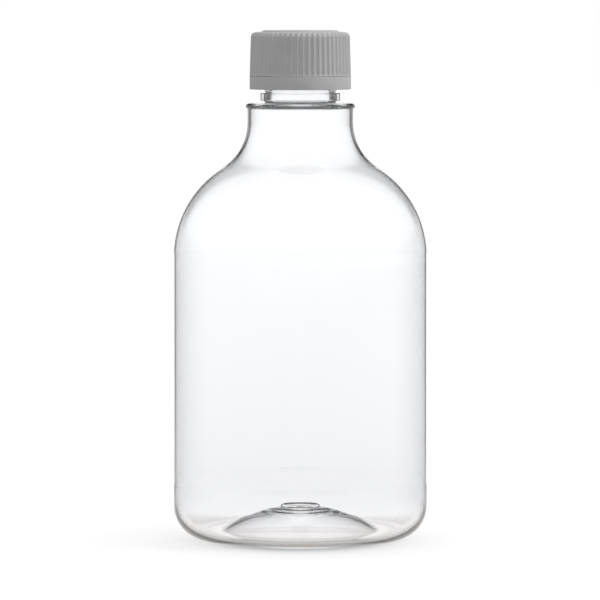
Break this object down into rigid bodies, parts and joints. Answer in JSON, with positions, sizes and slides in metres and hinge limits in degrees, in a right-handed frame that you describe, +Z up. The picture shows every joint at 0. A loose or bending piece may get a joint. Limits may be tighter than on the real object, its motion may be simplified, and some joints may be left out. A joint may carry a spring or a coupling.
{
  "type": "screw-capped clear bottle",
  "caption": "Clear round mouthwash bottle with a domed shoulder and wide neck, closed by a ribbed grey screw cap with a liner and a tamper band.",
  "frame": {"origin": "centre of the standing ring, on the surface the bottle stands on", "axes": "+Z up along the bottle's axis, towards the cap; the bottle is round, so +X and +Y only fix where the threads start"},
  "size_m": [0.0764, 0.0764, 0.1538],
  "materials": {
    "clear_pet": "clear, glossy",
    "grey_pp": "fine satin",
    "liner_foam": "matte"
  },
  "bodies": {
    "bottle": {"bottle": "clear_pet"},
    "liner": {"liner": "liner_foam"},
    "cap": {"cap": "grey_pp"},
    "tamper_band": {"tamper_band": "grey_pp"}
  },
  "joints": [
    {"name": "cap_lift", "type": "slide", "parent": "bottle", "child": "liner", "axis": [0, 0, 1], "range_m": [0, 0.016]},
    {"name": "cap_turn", "type": "hinge", "parent": "liner", "child": "cap", "pos_m": [0, 0, 0.14], "axis": [0, 0, 1], "range_deg": [0, 1800]},
    {"name": "band_drop", "type": "slide", "parent": "bottle", "child": "tamper_band", "axis": [0, 0, 1], "range_m": [-0.004, 0]}
  ],
  "couplings": [
    {"joint": "cap_lift", "follows": "cap_turn", "m_per_rad": 0.00050611}
  ]
}
